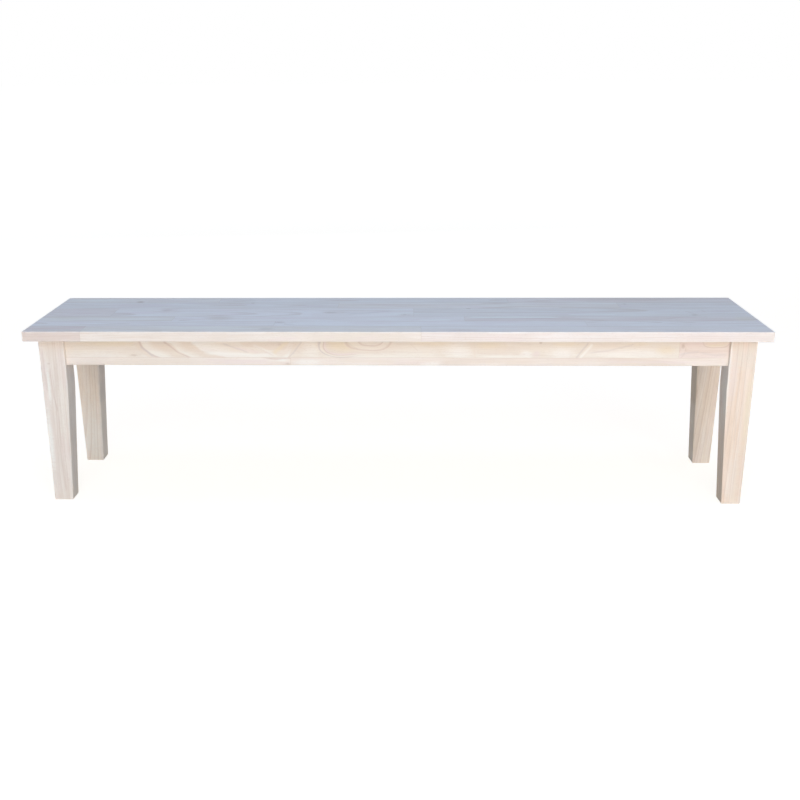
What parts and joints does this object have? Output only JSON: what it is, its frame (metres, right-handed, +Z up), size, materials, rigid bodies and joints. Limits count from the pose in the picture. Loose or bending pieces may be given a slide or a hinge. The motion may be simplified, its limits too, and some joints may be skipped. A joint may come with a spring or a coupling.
{
  "type": "shaker bench",
  "caption": "Long backless bench in pale unfinished wood: an edge-glued seat over an apron frame, on legs tapered on their inside faces and bolted to corner brackets.",
  "frame": {"origin": "on the floor, under the middle of the seat", "axes": "+X along the bench to the right as seen from the front, +Y from the front to the back, +Z up"},
  "size_m": [1.8288, 0.4, 0.4572],
  "materials": {
    "seat_wood": "matte",
    "apron_wood": "matte",
    "leg_wood": "matte",
    "rail_wood": "matte",
    "bracket_steel": "satin",
    "zinc_steel": "satin"
  },
  "bodies": {
    "root": {"back_apron_lower_left": "apron_wood", "back_apron_lower_right": "apron_wood", "back_apron_upper_left": "apron_wood", "back_apron_upper_right": "apron_wood", "bracket_screws": "zinc_steel", "corner_bracket_back_left": "bracket_steel", "corner_bracket_back_right": "bracket_steel", "corner_bracket_front_left": "bracket_steel", "corner_bracket_front_right": "bracket_steel", "cross_rail_left": "rail_wood", "cross_rail_right": "rail_wood", "flat_washers": "zinc_steel", "front_apron_lower_left": "apron_wood", "front_apron_lower_right": "apron_wood", "front_apron_upper_left": "apron_wood", "front_apron_upper_right": "apron_wood", "hanger_bolts": "zinc_steel", "hex_nuts": "zinc_steel", "left_end_apron_lower": "apron_wood", "left_end_apron_upper": "apron_wood", "leg_back_left": "leg_wood", "leg_back_right": "leg_wood", "leg_front_left": "leg_wood", "leg_front_right": "leg_wood", "rail_screws": "zinc_steel", "right_end_apron_lower": "apron_wood", "right_end_apron_upper": "apron_wood", "seat_board_1_1": "seat_wood", "seat_board_1_2": "seat_wood", "seat_board_1_3": "seat_wood", "seat_board_2_1": "seat_wood", "seat_board_2_2": "seat_wood", "seat_board_2_3": "seat_wood", "seat_board_3_1": "seat_wood", "seat_board_3_2": "seat_wood", "seat_board_3_3": "seat_wood", "seat_board_4_1": "seat_wood", "seat_board_4_2": "seat_wood", "seat_board_4_3": "seat_wood", "seat_board_5_1": "seat_wood", "seat_board_5_2": "seat_wood", "seat_board_5_3": "seat_wood", "seat_board_6_1": "seat_wood", "seat_board_6_2": "seat_wood", "seat_board_6_3": "seat_wood", "seat_screws": "zinc_steel", "spring_washers": "zinc_steel"}
  },
  "joints": []
}
